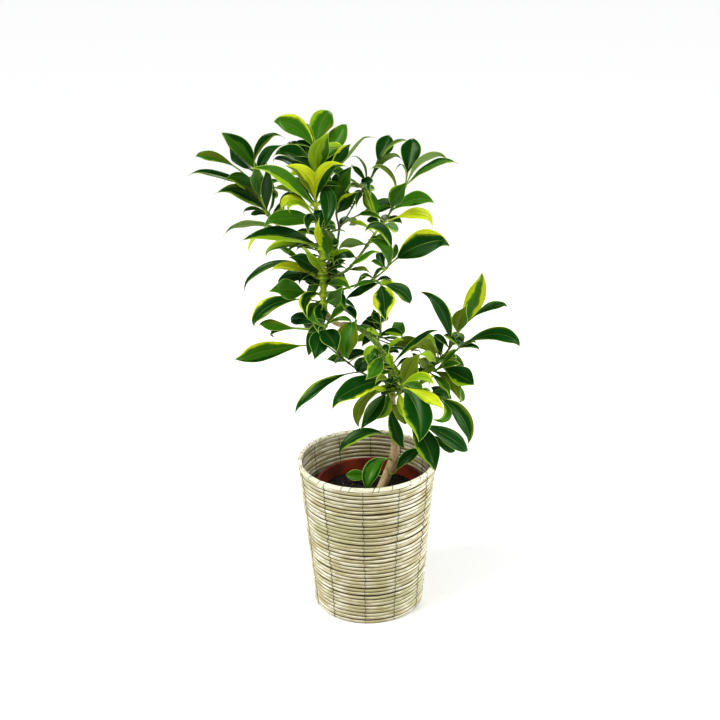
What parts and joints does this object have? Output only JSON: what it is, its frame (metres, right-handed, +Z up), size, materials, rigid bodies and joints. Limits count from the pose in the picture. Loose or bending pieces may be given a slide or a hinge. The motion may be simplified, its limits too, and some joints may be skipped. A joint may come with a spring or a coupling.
{
  "type": "potted fagraea",
  "caption": "Variegated fagraea shrub with a bare lower trunk, in a nursery pot of soil set inside a tapered cover pot of bound cane rows.",
  "frame": {"origin": "middle of the cover pot's flat underside, on the surface it stands on", "axes": "+Z up along the pot's axis, -Y towards the viewer of the picture, +X to the viewer's right"},
  "size_m": [0.4203, 0.2145, 0.6608],
  "materials": {
    "cane": "pale dry cane, satin",
    "thread": "dark waxed thread",
    "nursery_pot": "matt terracotta-coloured plastic",
    "soil": "dark crumbly potting soil",
    "bark": "thin tan bark over green wood",
    "leaves": "glossy green leaves with lime and yellow margins"
  },
  "bodies": {
    "root": {"basket_wall": "cane", "basket_rim": "cane", "basket_base": "cane", "inner_pot": "nursery_pot", "soil": "soil", "trunk": "bark", "stitch_01": "thread", "stitch_02": "thread", "stitch_03": "thread", "stitch_04": "thread", "stitch_05": "thread", "stitch_06": "thread", "stitch_07": "thread", "stitch_08": "thread", "stitch_09": "thread", "stitch_10": "thread", "stitch_11": "thread", "stitch_12": "thread", "shoot_top_left": "leaves", "crown": "leaves", "leader": "leaves", "shoot_top_middle": "leaves", "shoot_top_right": "leaves", "shoot_middle": "leaves", "shoot_dark": "leaves", "shoot_arch": "leaves", "shoot_inner": "leaves", "shoot_heart": "leaves", "shoot_left": "leaves", "shoot_low_left": "leaves", "shoot_low_right": "leaves", "shoot_right": "leaves", "shoot_rim": "leaves", "leaf_over_rim": "leaves", "leaves_hanging": "leaves", "leaf_inside_pot": "leaves", "leaf_on_soil": "leaves", "leaf_low_right": "leaves"}
  },
  "joints": []
}
